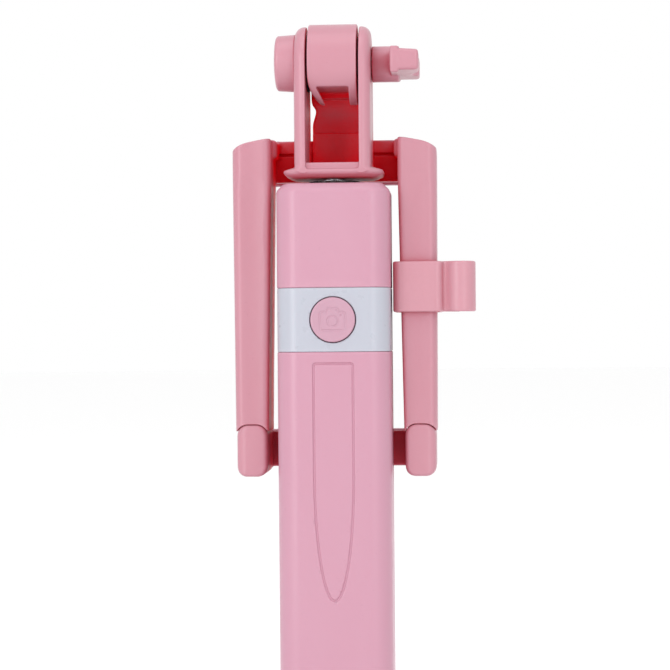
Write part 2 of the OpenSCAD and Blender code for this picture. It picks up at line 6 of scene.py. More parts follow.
import bmesh
import bpy
import numpy as np
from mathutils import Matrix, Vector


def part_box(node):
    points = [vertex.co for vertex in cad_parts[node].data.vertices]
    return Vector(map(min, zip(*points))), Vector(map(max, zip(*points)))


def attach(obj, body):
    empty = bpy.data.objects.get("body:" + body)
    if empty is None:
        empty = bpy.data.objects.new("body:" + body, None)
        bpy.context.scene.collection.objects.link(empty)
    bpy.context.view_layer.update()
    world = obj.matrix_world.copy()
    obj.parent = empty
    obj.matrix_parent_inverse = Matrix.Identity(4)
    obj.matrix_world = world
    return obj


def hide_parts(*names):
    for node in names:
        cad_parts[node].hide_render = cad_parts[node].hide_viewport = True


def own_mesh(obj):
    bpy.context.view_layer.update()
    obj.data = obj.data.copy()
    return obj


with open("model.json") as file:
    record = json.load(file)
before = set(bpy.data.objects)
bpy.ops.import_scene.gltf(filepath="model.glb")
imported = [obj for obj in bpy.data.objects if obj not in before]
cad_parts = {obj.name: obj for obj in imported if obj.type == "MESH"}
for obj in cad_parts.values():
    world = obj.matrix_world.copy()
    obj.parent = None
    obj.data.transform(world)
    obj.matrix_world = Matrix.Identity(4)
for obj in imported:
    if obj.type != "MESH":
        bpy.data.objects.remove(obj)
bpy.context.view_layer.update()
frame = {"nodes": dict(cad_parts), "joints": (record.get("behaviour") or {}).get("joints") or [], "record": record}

import openvdb as vdb
from mathutils import Matrix, Vector

nodes = frame["nodes"]
bpy.context.scene.view_settings.view_transform = "Standard"


# ---------------------------------------------------------------- sizes, in mm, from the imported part
PER_METRE = 1000


def span(node):
    """Lowest and highest corner of a CAD node, in mm"""
    low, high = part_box(node)
    return np.array(low) * PER_METRE, np.array(high) * PER_METRE


CAP = span("end_cap")
LOWER = span("lower_shell")
BAND = span("button_band")
UPPER = span("upper_shell")
BUTTON = span("shutter_button")
COLLAR = span("rod_collar")
YOKE = span("yoke")
NUT_CAP = span("nut_cap")
KNOB = span("hinge_knob")
CLIP = span("rail_clip")
JOINT = {j["name"]: j for j in frame["joints"]}
HINGE_Z = JOINT["clamp_hinge"]["pos_m"][2] * PER_METRE
HALF_W = LOWER[1][0]
MID_Y = (LOWER[0][1] + LOWER[1][1]) / 2
HALF_D = (LOWER[1][1] - LOWER[0][1]) / 2
FRONT_Y = LOWER[0][1]
# Radius of the handle's upright corners, and the wall of its shells
CORNER, WALL = 5.0, 1.5
BUTTON_Z = (BAND[0][2] + BAND[1][2]) / 2


def shown(name, data):
    """A new object in the scene that holds this mesh, camera or lamp"""
    o = bpy.data.objects.new(name, data)
    bpy.context.scene.collection.objects.link(o)
    return o


# ---------------------------------------------------------------- shapes as distances, in mm
def hyp(a, b):
    """Length of the slanted side"""
    return np.sqrt(a * a + b * b)


def join(a, b, r=0.0):
    """Union, with a fillet of radius r where the two meet"""
    if r <= 0:
        return np.minimum(a, b)
    return np.maximum(r, np.minimum(a, b)) - hyp(np.maximum(r - a, 0), np.maximum(r - b, 0))


def both(a, b, r=0.0):
    """What a and b share, with its new edge rounded to radius r"""
    if r <= 0:
        return np.maximum(a, b)
    return np.minimum(-r, np.maximum(a, b)) + hyp(np.maximum(r + a, 0), np.maximum(r + b, 0))


def less(a, b, r=0.0):
    """a with b cut away, the cut's rim rounded to radius r"""
    return both(a, -b, r)


def disc(u, v, r):
    """Distance to a circle about the origin"""
    return hyp(u, v) - r


def plate(u, v, half_u, half_v, r):
    """Rectangle with round corners, about its middle"""
    a, b = np.abs(u) - half_u + r, np.abs(v) - half_v + r
    return hyp(np.maximum(a, 0), np.maximum(b, 0)) + np.minimum(np.maximum(a, b), 0) - r


def run(flat, w, w0, w1, r0=0.0, r1=None):
    """A flat shape carried along w from w0 to w1, with end edges rounded to r0 and r1"""
    r1 = r0 if r1 is None else r1
    return both(both(flat, w0 - w, r0), w - w1, r1)


def slab(x, y, z, low, high, r):
    """Box from its lowest corner to its highest, all edges rounded"""
    q = [np.abs(v - (a + b) / 2) - (b - a) / 2 + r for v, a, b in zip((x, y, z), low, high)]
    out = hyp(hyp(np.maximum(q[0], 0), np.maximum(q[1], 0)), np.maximum(q[2], 0))
    return out + np.minimum(np.maximum(np.maximum(q[0], q[1]), q[2]), 0) - r


def soften(points, r, steps=5):
    """The polygon's points with each corner turned into a curve that takes under half of each side"""
    most = 0.48
    out, n = [], len(points)
    pts = [np.array(p, float) for p in points]
    for i in range(n):
        p, a, b = pts[i], pts[i - 1] - pts[i], pts[(i + 1) % n] - pts[i]
        la, lb = np.hypot(*a), np.hypot(*b)
        s, e = p + a / la * min(r, most * la), p + b / lb * min(r, most * lb)
        out += [(1 - t) ** 2 * s + 2 * t * (1 - t) * p + t * t * e for t in np.linspace(0, 1, steps)]
    return out


def outline(u, v, points):
    """Distance to a closed polygon, negative inside"""
    best, inside = None, None
    n = len(points)
    for i in range(n):
        (ax, ay), (bx, by) = points[i], points[(i + 1) % n]
        ex, ey = bx - ax, by - ay
        wx, wy = u - ax, v - ay
        t = np.clip((wx * ex + wy * ey) / (ex * ex + ey * ey), 0, 1)
        d = (wx - ex * t) ** 2 + (wy - ey * t) ** 2
        best = d if best is None else np.minimum(best, d)
        cross = ((ay > v) != (by > v)) & (u < (bx - ax) * (v - ay) / (by - ay if by != ay else 1e-9) + ax)
        inside = cross if inside is None else inside ^ cross
    return np.where(inside, -1.0, 1.0) * np.sqrt(best)


def lines(*spans):
    """Grid lines along one axis: each span is (start, end, step)"""
    out = []
    for a, b, step in spans:
        n = max(1, int(round((b - a) / step)))
        out += list(a + (b - a) * np.arange(n) / n)
    return np.array(out + [spans[-1][1]])


def slope(f, p, step):
    """Direction in which f grows at each point, and its steepness"""
    g = np.empty_like(p)
    for k in range(3):
        e = np.zeros(3)
        e[k] = step
        a, b = p + e, p - e
        g[:, k] = (f(a[:, 0], a[:, 1], a[:, 2]) - f(b[:, 0], b[:, 1], b[:, 2])) / (2 * step)
    size = np.maximum(np.linalg.norm(g, axis=1), 1e-6)
    return g / size[:, None], size


FAR, NEAR = 10.0, 3
PASSES, PROBE = 3, 0.02
# how far in the edge attribute looks; it drives the rubbed-edge wear on the plastics and the painted glints on the
# knurl
EDGE_WEAR_AND_GLINT_DEPTH = 0.7


def carve(name, f, xs, ys, zs, merge=0.02, soft=0.05):
    """A mesh of the surface where f is nought, on grid lines xs, ys, zs.

    Its points are moved onto the surface in a few passes, and its normals are f's own slope. The
    attribute "edge" tells how sharply the surface turns outward, from the depth found EDGE_WEAR_AND_GLINT_DEPTH in.
    """
    d = f(xs[:, None, None], ys[None, :, None], zs[None, None, :])
    d = np.ascontiguousarray(np.broadcast_to(d, (len(xs), len(ys), len(zs))), np.float32)
    grid = vdb.FloatGrid(FAR)
    grid.copyFromArray(np.clip(d, -NEAR, NEAR))
    points, tris, quads = grid.convertToPolygons(0.0, merge)
    p = np.empty(points.shape)
    for k, ticks in enumerate((xs, ys, zs)):
        p[:, k] = np.interp(points[:, k], np.arange(len(ticks)), ticks)
    reach = 0.5 * min(np.diff(xs).min(), np.diff(ys).min())
    for _ in range(PASSES):
        n, size = slope(f, p, PROBE)
        move = np.clip(f(p[:, 0], p[:, 1], p[:, 2]) / size, -reach, reach)
        p -= n * move[:, None]
    n, _ = slope(f, p, soft)
    inner = p - n * EDGE_WEAR_AND_GLINT_DEPTH
    edge = np.clip((f(inner[:, 0], inner[:, 1], inner[:, 2]) + EDGE_WEAR_AND_GLINT_DEPTH) / EDGE_WEAR_AND_GLINT_DEPTH, -1, 1)
    faces = [tuple(int(i) for i in q) for q in quads] + [tuple(int(i) for i in t) for t in tris]
    mesh = bpy.data.meshes.new(name)
    mesh.from_pydata([tuple(v) for v in p / PER_METRE], [], faces)
    mesh.update()
    first = np.array([poly.vertices[0] for poly in mesh.polygons])
    facing = np.array([poly.normal for poly in mesh.polygons])
    if (facing * n[first]).sum(1).mean() < 0:
        mesh.flip_normals()
    mesh.polygons.foreach_set("use_smooth", [True] * len(mesh.polygons))
    mesh.normals_split_custom_set_from_vertices([tuple(v) for v in n])
    wear = mesh.attributes.new("edge", "FLOAT", "POINT")
    wear.data.foreach_set("value", edge.astype(np.float32))
    return shown(name, mesh)


def piece(o, body, slot, material, *replaced):
    """Puts a finished piece on its body, in place of its CAD nodes"""
    o.data.materials.clear()
    o.data.materials.append(material)
    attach(o, body)
    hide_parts(*replaced)
    return o


# ---------------------------------------------------------------- materials
class Nodes:
    """Short way to build one material's node tree"""

    def __init__(self, name):
        self.m = bpy.data.materials.new(name)
        self.m.use_nodes = True
        self.t = self.m.node_tree
        self.t.nodes.clear()
        self.out = self.add("ShaderNodeOutputMaterial")
        self.shader = self.add("ShaderNodeBsdfPrincipled")
        self.link(self.shader.outputs[0], self.out.inputs[0])
        self.at = self.add("ShaderNodeTexCoord").outputs["Object"]

    def colour(self, output):
        self.link(output, self.shader.inputs["Base Color"])

    def roughness(self, output):
        self.link(output, self.shader.inputs["Roughness"])

    def normal(self, output):
        self.link(output, self.shader.inputs["Normal"])

    def add(self, kind, **values):
        n = self.t.nodes.new(kind)
        for k, v in values.items():
            setattr(n, k, v)
        return n

    def link(self, a, b):
        self.t.links.new(a, b)

    def set(self, **values):
        for k, v in values.items():
            self.shader.inputs[k.replace("_", " ")].default_value = v

    def stretched(self, x, y, z):
        """Object coordinates, scaled along each axis"""
        n = self.add("ShaderNodeMapping")
        n.inputs["Scale"].default_value = (x, y, z)
        self.link(self.at, n.inputs["Vector"])
        return n.outputs[0]

    def noise(self, scale, detail=2.0, at=None, distortion=0.0):
        """Cloudy noise from 0 to 1"""
        n = self.add("ShaderNodeTexNoise")
        n.inputs["Scale"].default_value = scale
        n.inputs["Detail"].default_value = detail
        n.inputs["Distortion"].default_value = distortion
        self.link(at or self.at, n.inputs["Vector"])
        return n.outputs["Fac"]

    def fit(self, value, a, b, low, high, smooth=False):
        """Carries a to b over to low to high"""
        n = self.add("ShaderNodeMapRange")
        if smooth:
            n.interpolation_type = "SMOOTHSTEP"
        for i, v in enumerate((a, b, low, high), 1):
            n.inputs[i].default_value = v
        self.link(value, n.inputs[0])
        return n.outputs[0]

    def maths(self, operation, a, b):
        """One sum of two numbers or outputs"""
        n = self.add("ShaderNodeMath", operation=operation)
        for i, v in enumerate((a, b)):
            if isinstance(v, (int, float)):
                n.inputs[i].default_value = v
            else:
                self.link(v, n.inputs[i])
        return n.outputs[0]

    def mix(self, factor, a, b):
        """Colour a, turning into b as the factor grows"""
        n = self.add("ShaderNodeMix", data_type="RGBA", blend_type="MIX")
        for socket, v in ((n.inputs[0], factor), (n.inputs[6], a), (n.inputs[7], b)):
            if isinstance(v, (int, float)):
                socket.default_value = v
            elif isinstance(v, tuple):
                socket.default_value = (*v, 1.0)
            else:
                self.link(v, socket)
        return n.outputs[2]

    def edge(self):
        """How sharply the surface turns outward, from carve()"""
        return self.add("ShaderNodeAttribute", attribute_name="edge").outputs["Fac"]

    def bump(self, height, strength, distance, after=None):
        """A normal that follows a height in metres"""
        n = self.add("ShaderNodeBump")
        n.inputs["Strength"].default_value = strength
        n.inputs["Distance"].default_value = distance
        self.link(height, n.inputs["Height"])
        if after:
            self.link(after, n.inputs["Normal"])
        return n.outputs[0]


def toned(tone, share, lift=0.0):
    """A tone made darker or lighter, at most white"""
    return tuple(min(1, c * share + lift) for c in tone)


# Depths behind the rod's axis, in metres: where the painted shade begins to deepen, where it is full,
# and the two between which the painted shade colour of the clamp's plate grows darker
SHADE_FROM, SHADE_FULL = 0.001, 0.006
PLATE_FROM, PLATE_FULL = 0.0096, 0.0101
FLOW_TINT = (0.02, 0.05, 0.04)


def moulded(name, tone, depth, rough=0.42, grain=0.5, shade_strength=1.0, reach=0.012, blotch=1.0, front=0.22,
            specks=0.16, scratch=0.10):
    """Dyed injection-moulded plastic.

    It has flow marks in the colour, a spark-eroded grain and rubbed edges. It also carries painted shade:
    where ambient occlusion within reach metres finds it hemmed in, above all behind the rod's axis, its
    colour turns to the dark depth colour and its reflections are turned down.
    """
    k = Nodes(name)
    k.set(IOR=1.47, Subsurface_Weight=0.08, Subsurface_Radius=(1.0, 0.4, 0.45),
          Subsurface_Scale=0.0012, Coat_Roughness=0.25)
    flow = k.fit(k.noise(60, 3, k.stretched(1, 1, 0.35), 0.6), 0.3, 0.7, 0, 1)
    tint = tuple(c * (1 - blotch * f) for c, f in zip(tone, FLOW_TINT))
    colour = k.mix(flow, tone, tint)
    speck = k.fit(k.noise(1700, 1), 0.70, 0.78, 0, specks)
    colour = k.mix(speck, colour, toned(tone, 0.72))
    rub = k.maths("MULTIPLY", k.fit(k.edge(), 0.12, 0.6, 0, 0.32, True),
                  k.fit(k.noise(900, 3), 0.35, 0.65, 0.45, 1))
    colour = k.mix(rub, colour, toned(tone, 1.08, 0.03))

    # painted shade: 1 where the surface lies deep between others, from ambient occlusion and the depth behind the
    # axis
    shade = k.add("ShaderNodeAmbientOcclusion", samples=8)
    shade.inputs["Distance"].default_value = reach
    open_air = shade.outputs["AO"]
    split = k.add("ShaderNodeSeparateXYZ")
    k.link(k.at, split.inputs[0])
    behind = split.outputs[1]
    shade_behind_axis = k.fit(behind, SHADE_FROM, SHADE_FULL, front, 1.0, True)
    painted_shade = k.maths("MULTIPLY", k.fit(open_air, 0.25, 0.80, shade_strength, 0, True), shade_behind_axis)
    painted_shade = k.maths("MAXIMUM", painted_shade, k.fit(open_air, 0.05, 0.25, 0.6 * shade_strength, 0, True))
    # painted shade: the clamp's plate, farthest back, takes a darker depth colour
    depth = k.mix(k.fit(behind, PLATE_FROM, PLATE_FULL, 0, 1), depth, toned(depth, 0.68))
    k.colour(k.mix(painted_shade, colour, depth))
    # reflections and coat are turned down along with the painted shade, where ambient occlusion is low
    k.link(k.fit(open_air, 0.4, 0.95, 0.01, 0.5, True), k.shader.inputs["Specular IOR Level"])
    k.link(k.fit(open_air, 0.3, 0.8, 0, 0.06), k.shader.inputs["Coat Weight"])

    scratches = k.fit(k.noise(1, 2, k.stretched(2600, 2600, 90)), 0.56, 0.7, 0, scratch)
    k.roughness(k.maths("ADD", k.fit(k.noise(420, 4), 0.3, 0.7, rough - 0.04, rough + 0.05), scratches))
    sink = k.bump(k.noise(85, 1), 0.10, 0.0006)
    k.normal(k.bump(k.noise(5200, 2), 0.16 * grain, 0.00006, sink))
    return k.m


TARNISH = (0.55, 0.5, 0.45)


def metal(name, tone, rough, lines_along=(4000, 4000, 60)):
    """Drawn or turned metal: fine lines along the draw, a little tarnish"""
    k = Nodes(name)
    k.set(Metallic=1.0)
    hair = k.noise(1, 3, k.stretched(*lines_along))
    drawn = k.mix(k.fit(hair, 0.35, 0.65, 0, 1), tone, toned(tone, 0.9))
    stain = k.fit(k.noise(380, 4), 0.55, 0.75, 0, 0.25)
    k.colour(k.mix(stain, drawn, tuple(t * c for t, c in zip(TARNISH, tone))))
    k.roughness(k.fit(hair, 0.3, 0.7, rough - 0.05, rough + 0.10))
    k.normal(k.bump(hair, 0.12, 0.00003))
    return k.m


def knurled(name, groove=(0.022, 0.010, 0.012), glint_tone=(0.80, 0.77, 0.78)):
    """Turned steel with painted shade and painted glints: a near-black red colour stands in for the shadow under
    the flange, and the tips of its knurl take a light, more metallic painted glint
    """
    k = Nodes(name)
    # painted glints on the knurl's tips; the rest takes the painted shade colour
    tip = k.maths("MULTIPLY", k.fit(k.edge(), 0.72, 0.95, 0, 1, True),
                  k.fit(k.noise(700, 3), 0.3, 0.6, 0.6, 1))
    k.colour(k.mix(tip, groove, glint_tone))
    k.link(k.fit(tip, 0, 1, 0.25, 1.0, True), k.shader.inputs["Metallic"])
    k.roughness(k.fit(k.noise(1500, 2), 0.3, 0.7, 0.3, 0.42))
    k.normal(k.bump(k.noise(3000, 2), 0.15, 0.00003))
    return k.m


def rubber(name, tone):
    """Soft silicone: matt, dusty in places"""
    k = Nodes(name)
    k.set(IOR=1.41, Sheen_Weight=0.25, Sheen_Roughness=0.5, Subsurface_Weight=0.1,
          Subsurface_Radius=(1.0, 0.5, 0.5), Subsurface_Scale=0.001)
    cloud = k.fit(k.noise(210, 4), 0.3, 0.7, 0, 1)
    dust = k.fit(k.noise(2400, 2), 0.62, 0.74, 0, 0.22)
    k.colour(k.mix(dust, k.mix(cloud, tone, toned(tone, 0.93)), toned(tone, 1.1, 0.08)))
    k.roughness(k.fit(k.noise(900, 3), 0.3, 0.7, 0.58, 0.72))
    k.normal(k.bump(k.noise(3600, 2), 0.2, 0.00006))
    return k.m


def board(name, mask=(0.01, 0.10, 0.04), thin=(0.015, 0.13, 0.055), track=(0.05, 0.24, 0.09)):
    """Green circuit board: solder mask over faint copper tracks"""
    k = Nodes(name)
    k.set(Coat_Weight=0.3, Coat_Roughness=0.12)
    tracks = k.add("ShaderNodeTexBrick")
    tracks.inputs["Scale"].default_value = 420
    tracks.inputs["Mortar Size"].default_value = 0.06
    k.link(k.stretched(1, 1, 1), tracks.inputs["Vector"])
    copper = k.fit(tracks.outputs["Fac"], 0, 1, 0, 0.35)
    k.colour(k.mix(copper, k.mix(k.fit(k.noise(700, 3), 0.3, 0.7, 0, 1), mask, thin), track))
    k.roughness(k.fit(k.noise(1500, 2), 0.3, 0.7, 0.3, 0.42))
    k.normal(k.bump(tracks.outputs["Fac"], 0.2, 0.00005))
    return k.m


# Each moulded plastic below takes a base colour, then its painted shade colour, which fills hollows and the parts
# behind the rod's axis; the jaw takes a little less of the painted shade, the band keeps it within a short reach,
# and the knob takes it all over its face
HEAD_TONE = (0.465, 0.212, 0.26)
SATIN = 0.32
HANDLE = moulded("handle_plastic", (0.48, 0.245, 0.32), (0.55, 0.04, 0.09), SATIN)
HEAD = moulded("head_plastic", HEAD_TONE, (0.95, 0.008, 0.022), SATIN)
JAW_MAT = moulded("jaw_plastic", HEAD_TONE, (0.70, 0.03, 0.06), SATIN, shade_strength=0.85)
KNOB_MAT = moulded("knob_plastic", HEAD_TONE, (0.36, 0.02, 0.04), SATIN, front=1.0)
CLIP_MAT = moulded("clip_plastic", (0.49, 0.235, 0.28), (0.85, 0.02, 0.04), SATIN)
BUTTON_MAT = moulded("button_plastic", (0.45, 0.26, 0.33), (0.35, 0.08, 0.13), SATIN)
WHITE = moulded("band_plastic", (0.40, 0.41, 0.465), (0.25, 0.20, 0.26), 0.30, grain=0.3, shade_strength=0.7,
                reach=0.004, blotch=0.15, specks=0.0, scratch=0.0)
STEEL = metal("tube_steel", (0.42, 0.42, 0.44), 0.20)
# painted shade in the grooves of the collar's knurl and painted glints on its tips
KNURL = knurled("knurl_steel")
HARDWARE = metal("zinc_steel", (0.36, 0.36, 0.38), 0.34, (900, 900, 900))
BRASS = metal("turned_brass", (0.72, 0.50, 0.20), 0.28, (300, 300, 5000))
SILICONE = rubber("pad_silicone", (0.50, 0.19, 0.25))
BLACK = moulded("black_plastic", (0.022, 0.022, 0.025), (0.01, 0.01, 0.012), 0.5)
GREEN = board("board_mask")
FOIL = metal("battery_foil", (0.48, 0.49, 0.52), 0.3, (500, 500, 500))

BY_SLOT = {
    "handle_pink": HANDLE, "head_pink": HEAD, "clip_pink": CLIP_MAT, "button_pink": BUTTON_MAT,
    "band_white": WHITE, "tube_steel": STEEL, "hardware_steel": HARDWARE, "brass": BRASS,
    "pad_silicone": SILICONE, "black_plastic": BLACK, "board_green": GREEN, "battery_wrap": FOIL,
}
# What is turned, stamped or cut, and so has a fine bevel on its edges
BEVELLED_SLOTS = ("tube_steel", "board_green", "battery_wrap", "brass")
BEVELLED_NODES = ("guide_rods", "hinge_bolt", "hinge_nut", "head_pin", "rod_stops")
SLOT_OF = {s["node"]: s["material_slot"] for s in frame["record"]["subparts"]}


def bevel(o, width=0.00008, segments=2, angle=math.radians(40)):
    rounded = o.modifiers.new("rounded", "BEVEL")
    rounded.width = width
    rounded.segments = segments
    rounded.limit_method = "ANGLE"
    rounded.angle_limit = angle


for node, o in nodes.items():
    slot = SLOT_OF[node]
    o.data.materials.clear()
    o.data.materials.append(BY_SLOT[slot])
    if slot in BEVELLED_SLOTS or node in BEVELLED_NODES:
        bevel(o)


# ---------------------------------------------------------------- handle
# Edge radii: where two shells meet, inside a shell, and a fine crease
SEAM_R, INNER_R, CREASE_R = 0.22, 0.15, 0.12
# How far a grid reaches past what is carved, and how far a cut runs past what it cuts
SPARE, THROUGH = 0.3, 2
# The grip groove's path, counted down from the band, half its width and the radius of its line.
# The panel inside it is sunk by PANEL_DEPTH
GROOVE_TOP, GROOVE_BEND, GROOVE_TIP = BAND[0][2] - 2.55, BAND[0][2] - 26.6, BAND[0][2] - 54.35
GROOVE_W, GROOVE_R, PANEL_DEPTH = 4.3, 0.27, 0.10
TOP_BEVEL, TOP_PLATE = 1.6, 2
# How far the collar laps over its hole, and the button's flange behind its mouth
COLLAR_LAP, BUTTON_LAP = 0.25, 0.72
USB_Y, USB_HALF_W, USB_HALF_D, USB_TOP = -8.9, 3.75, 1.3, 7
EYE_Y, EYE_Z, EYE_R = 3, 5, 1.5
SCREW_X, SCREW_Y, SCREW_HOLE, HEAD_HOLE, HEAD_DEPTH = 8.8, -3, 1.05, 1.95, 1.7
CAP_DEPTH = 12
# The white band stands a hair back from the shells it lies between
BAND_BACK = 0.03


def around(x, y, inset=0.0):
    """The handle's outline, seen from above"""
    return plate(x, y - MID_Y, HALF_W - inset, HALF_D - inset, CORNER - inset)


def tongue(x, z):
    """The grip's tongue: straight sides, then half an ellipse down to the tip"""
    long = GROOVE_BEND - GROOVE_TIP
    dz = np.minimum(z - GROOVE_BEND, 0)
    k0 = hyp(x / GROOVE_W, dz / long)
    k1 = np.maximum(hyp(x / GROOVE_W**2, dz / long**2), 1e-9)
    round_part = np.where(k0 < 0.02, -GROOVE_W, k0 * (k0 - 1) / k1)
    straight = both(np.abs(x) - GROOVE_W, z - GROOVE_TOP, 0.5)
    return np.where(z > GROOVE_BEND, straight, round_part)


def lower_shape(x, y, z):
    body = run(around(x, y), z, LOWER[0][2], LOWER[1][2], SEAM_R)
    line = hyp(tongue(x, z), (y - FRONT_Y) * 0.8) - GROOVE_R
    body = less(body, np.maximum(tongue(x, z), y - FRONT_Y - PANEL_DEPTH), 0.1)
    return less(less(body, line, CREASE_R), around(x, y, WALL), INNER_R)


def band_shape(x, y, z):
    body = run(around(x, y, BAND_BACK), z, BAND[0][2] + BAND_BACK, BAND[1][2] - BAND_BACK, SEAM_R)
    mouth = np.maximum(disc(x, z - BUTTON_Z, BUTTON[1][0] - BUTTON_LAP), y)
    return less(less(body, mouth, 0.18), around(x, y, WALL), INNER_R)


def upper_shape(x, y, z):
    top = UPPER[1][2]
    wall = around(x, y)
    chamfer = (wall + z - top + TOP_BEVEL) * 0.7071
    body = both(run(wall, z, UPPER[0][2], top, SEAM_R, 0.1), chamfer, 0.35)
    body = less(body, disc(x, y, COLLAR[1][0] - COLLAR_LAP), 0.25)
    return less(body, np.maximum(around(x, y, WALL), z - top + TOP_PLATE), INNER_R)


def cap_shape(x, y, z):
    body = run(around(x, y), z, 0, CAP[1][2], 0.9, SEAM_R)
    body = less(body, run(plate(x, y - USB_Y, USB_HALF_W, USB_HALF_D, 0.9), z, -THROUGH, USB_TOP), 0.25)
    body = less(body, run(disc(y - EYE_Y, z - EYE_Z, EYE_R), x, -20, 20), 0.45)
    body = less(body, slab(x, y, z, (-8.2, -10.1, 1.6), (8.2, -6.6, CAP_DEPTH), 0.4))
    for side in (-1, 1):
        u, v = x - side * SCREW_X, y - SCREW_Y
        body = less(body, run(disc(u, v, HEAD_HOLE), z, -THROUGH, HEAD_DEPTH), 0.2)
        body = less(body, run(disc(u, v, SCREW_HOLE), z, -THROUGH, CAP_DEPTH))
    return body


Z0, Z1, Z2, Z3 = LOWER[0][2], LOWER[1][2], UPPER[0][2], UPPER[1][2]
END_X = HALF_W + SPARE
GROOVE_SIDE, ROUND_X, PLAIN_ROUND_X = 5.6, HALF_W - 2, HALF_W - 2.6
GROOVED_X = lines((-END_X, -ROUND_X, 0.2), (-ROUND_X, -GROOVE_SIDE, 0.45),
                  (-GROOVE_SIDE, GROOVE_SIDE, 0.14), (GROOVE_SIDE, ROUND_X, 0.45), (ROUND_X, END_X, 0.2))
PLAIN_X = lines((-END_X, -PLAIN_ROUND_X, 0.17), (-PLAIN_ROUND_X, PLAIN_ROUND_X, 0.33),
                (PLAIN_ROUND_X, END_X, 0.17))
HANDLE_Y = lines((FRONT_Y - SPARE, FRONT_Y + 1.9, 0.13), (FRONT_Y + 1.9, -FRONT_Y - 4.2, 0.4),
                 (-FRONT_Y - 4.2, -FRONT_Y - 1.7, 0.17))
END_CAP_Z = lines((-SPARE, 2.2, 0.15), (2.2, 7.8, 0.2), (7.8, 9.2, 0.12))
GRIP_Z = lines((Z0 - 0.2, Z0 + 0.6, 0.1), (Z0 + 0.6, GROOVE_TIP - 1, 1.2),
               (GROOVE_TIP - 1, GROOVE_TIP + 6, 0.14), (GROOVE_TIP + 6, GROOVE_BEND, 0.35),
               (GROOVE_BEND, GROOVE_TOP - 1, 0.9), (GROOVE_TOP - 1, GROOVE_TOP + 0.6, 0.12),
               (GROOVE_TOP + 0.6, Z1 - 0.6, 0.4), (Z1 - 0.6, Z1 + 0.2, 0.1))
BAND_Z = lines((Z1 - 0.2, Z1 + 0.7, 0.1), (Z1 + 0.7, Z2 - 0.7, 0.18), (Z2 - 0.7, Z2 + 0.2, 0.1))
TOP_Z = lines((Z2 - 0.2, Z2 + 0.6, 0.1), (Z2 + 0.6, Z3 - 3, 0.8), (Z3 - 3, Z3 + 0.2, 0.14))

piece(carve("cap_moulding", cap_shape, PLAIN_X, HANDLE_Y, END_CAP_Z),
      "handle", "handle_pink", HANDLE, "end_cap")
piece(carve("grip_moulding", lower_shape, GROOVED_X, HANDLE_Y, GRIP_Z, 0.01),
      "handle", "handle_pink", HANDLE, "lower_shell")
piece(carve("band_ring", band_shape, PLAIN_X, HANDLE_Y, BAND_Z),
      "handle", "band_white", WHITE, "button_band")
piece(carve("top_moulding", upper_shape, PLAIN_X, HANDLE_Y, TOP_Z),
      "handle", "handle_pink", HANDLE, "upper_shell")


# ---------------------------------------------------------------- shutter button with its camera pictogram
DISH_R, DISH_DEPTH = 40.0, 0.18
LENS_DROP, LENS_R = 0.35, 1.15
LINE_DEPTH, LINE_R = 0.14, 0.15
BUTTON_RIM, BUTTON_FLANGE = 0.9, 0.7


def pictogram(x, z):
    """Distance to the camera's outline"""
    case = plate(x, z + LENS_DROP, 2.75, 2.0, 0.55)
    hump = outline(x, z, [(-1.5, 1.2), (-0.95, 2.5), (0.95, 2.5), (1.5, 1.2)])
    return join(case, hump, 0.3)


def button_shape(x, y, z):
    w = z - BUTTON_Z
    face, back, radius = BUTTON[0][1], BUTTON[1][1], BUTTON[1][0]
    body = run(disc(x, w, radius - BUTTON_RIM), y, face, back - BUTTON_FLANGE, 0.35, 0)
    dish = np.sqrt(x * x + w * w + (y - face + DISH_R - DISH_DEPTH) ** 2) - DISH_R
    body = less(body, dish, 0.1)
    body = join(body, run(disc(x, w, radius), y, back - BUTTON_FLANGE, back, 0.15))
    # the engraved lines follow the dish
    depth = (y - face - LINE_DEPTH + (x * x + w * w) / (2 * DISH_R)) * 0.9
    case = np.abs(pictogram(x, w)) - 0.12
    lens = np.abs(disc(x, w + LENS_DROP, LENS_R)) - 0.10
    lamp_dot = disc(x - 1.75, w - 0.95, 0.10)
    for line in (case, lens, lamp_dot):
        body = less(body, hyp(np.maximum(line, 0), depth) - LINE_R, 0.05)
    return body


BUTTON_REACH = BUTTON[1][0] + 0.2
BUTTON_X = lines((-BUTTON_REACH, BUTTON_REACH, 0.085))
BUTTON_Y = lines((BUTTON[0][1] - 0.2, BUTTON[0][1] + 0.6, 0.05),
                 (BUTTON[0][1] + 0.6, BUTTON[1][1] + 0.2, 0.12))
BUTTON_UP = lines((BUTTON_Z - BUTTON_REACH, BUTTON_Z + BUTTON_REACH, 0.085))
piece(carve("button_cap", button_shape, BUTTON_X, BUTTON_Y, BUTTON_UP, 0.005, 0.03),
      "button", "button_pink", BUTTON_MAT, "shutter_button")


# ---------------------------------------------------------------- knurled collar on the rod
TEETH, TOOTH_AT, TOOTH_R, TOOTH_FOOT = 16, 5.78, 0.44, 144.4
COLLAR_R, TUBE_SEAT_R, TUBE_SEAT_TOP, COLLAR_BORE = 5.75, 5.4, 144.0, 4.87


def collar_shape(x, y, z):
    rad = np.sqrt(x * x + y * y)
    body = run(rad - COLLAR_R, z, COLLAR[0][2], COLLAR[1][2], CREASE_R)
    turn = 2 * math.pi / TEETH
    a = np.arctan2(y, x)
    a = a - turn * np.round(a / turn - 0.5) - turn * 0.5
    tooth = hyp(rad * np.cos(a) - TOOTH_AT, rad * np.sin(a)) - TOOTH_R
    body = join(body, run(tooth, z, TOOTH_FOOT, COLLAR[1][2] - 0.15, 0.15), 0.1)
    body = less(body, np.maximum(rad - TUBE_SEAT_R, z - TUBE_SEAT_TOP))
    return less(body, rad - COLLAR_BORE, CREASE_R)


